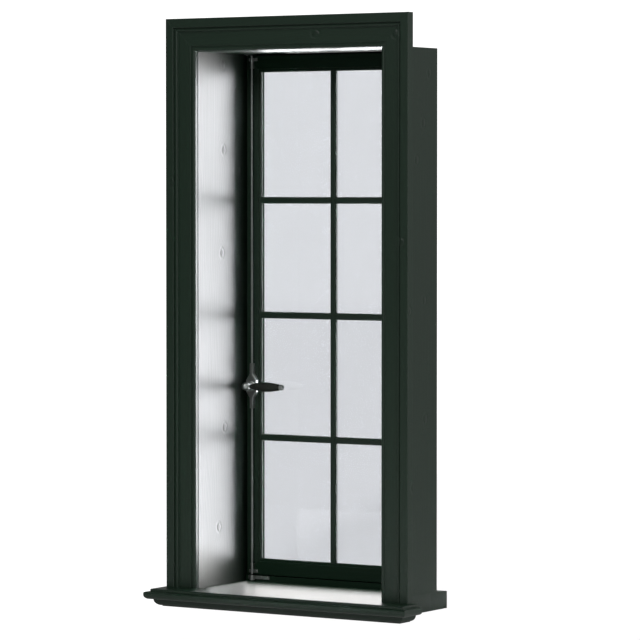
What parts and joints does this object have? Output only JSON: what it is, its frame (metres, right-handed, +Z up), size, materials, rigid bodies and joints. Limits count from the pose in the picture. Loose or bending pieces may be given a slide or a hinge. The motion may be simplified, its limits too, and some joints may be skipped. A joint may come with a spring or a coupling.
{
  "type": "casement window",
  "caption": "Casement window with deep timber reveal, moulded casings, window board and one inward-opening multi-pane sash locked by a cremone bolt.",
  "frame": {"origin": "on the wall plane (backs of the casings), midway across, at the underside of the window board", "axes": "+X to the right seen from the room, +Y away from the room, +Z up"},
  "size_m": [0.832, 0.412, 1.598],
  "materials": {
    "painted_wood": "softwood, knots and grain showing faintly through dark green satin paint",
    "pewter": "worn pewter, satin",
    "dark_bronze": "dark bronzed, half gloss",
    "glass": "clear float glass",
    "rubber": "matt"
  },
  "bodies": {
    "frame": {"casing_left": "painted_wood", "casing_right": "painted_wood", "casing_head": "painted_wood", "band_left": "painted_wood", "band_right": "painted_wood", "band_head": "painted_wood", "window_board": "painted_wood", "bed_moulding": "painted_wood", "outer_sill": "painted_wood", "lining_left": "painted_wood", "lining_right": "painted_wood", "lining_head": "painted_wood", "frame_sill": "painted_wood", "hinge_post": "painted_wood", "stop_left": "painted_wood", "stop_right": "painted_wood", "stop_head": "painted_wood", "stop_bottom": "painted_wood", "frame_seal": "rubber", "frame_leaf_low": "pewter", "frame_leaf_mid": "pewter", "frame_leaf_high": "pewter", "hinge_pins": "pewter", "upper_keeper": "pewter", "lower_keeper": "pewter", "frame_screws": "pewter"},
    "sash": {"stile_left": "painted_wood", "stile_right": "painted_wood", "rail_top": "painted_wood", "rail_bottom": "painted_wood", "bar_upright": "painted_wood", "bar_low": "painted_wood", "bar_mid": "painted_wood", "bar_high": "painted_wood", "pane_1_left": "glass", "pane_1_right": "glass", "pane_2_left": "glass", "pane_2_right": "glass", "pane_3_left": "glass", "pane_3_right": "glass", "pane_4_left": "glass", "pane_4_right": "glass", "glazing_beads": "painted_wood", "sash_leaf_low": "pewter", "sash_leaf_mid": "pewter", "sash_leaf_high": "pewter", "cremone_plate": "pewter", "cremone_cover": "pewter", "upper_guide": "pewter", "lower_guide": "pewter", "sash_screws": "pewter"},
    "upper_rod": {"upper_rod": "pewter"},
    "lower_rod": {"lower_rod": "pewter"},
    "lever": {"spindle": "pewter", "pinion": "pewter", "lever_neck": "pewter", "lever_ferrule": "pewter", "lever_grip": "dark_bronze", "lever_cap": "pewter"}
  },
  "joints": [
    {"name": "sash_swing", "type": "hinge", "parent": "frame", "child": "sash", "pos_m": [0.2675, 0.2302, 0.785], "axis": [0, 0, 1], "range_deg": [0, 90]},
    {"name": "handle_turn", "type": "hinge", "parent": "sash", "child": "lever", "pos_m": [-0.271, 0.228, 0.591], "axis": [0, 1, 0], "range_deg": [0, 90]},
    {"name": "upper_rod_slide", "type": "slide", "parent": "sash", "child": "upper_rod", "axis": [0, 0, 1], "range_m": [0, 0.00942]},
    {"name": "lower_rod_slide", "type": "slide", "parent": "sash", "child": "lower_rod", "axis": [0, 0, -1], "range_m": [0, 0.00942]}
  ],
  "couplings": [
    {"joint": "upper_rod_slide", "follows": "handle_turn", "m_per_rad": 0.006},
    {"joint": "lower_rod_slide", "follows": "handle_turn", "m_per_rad": 0.006}
  ]
}
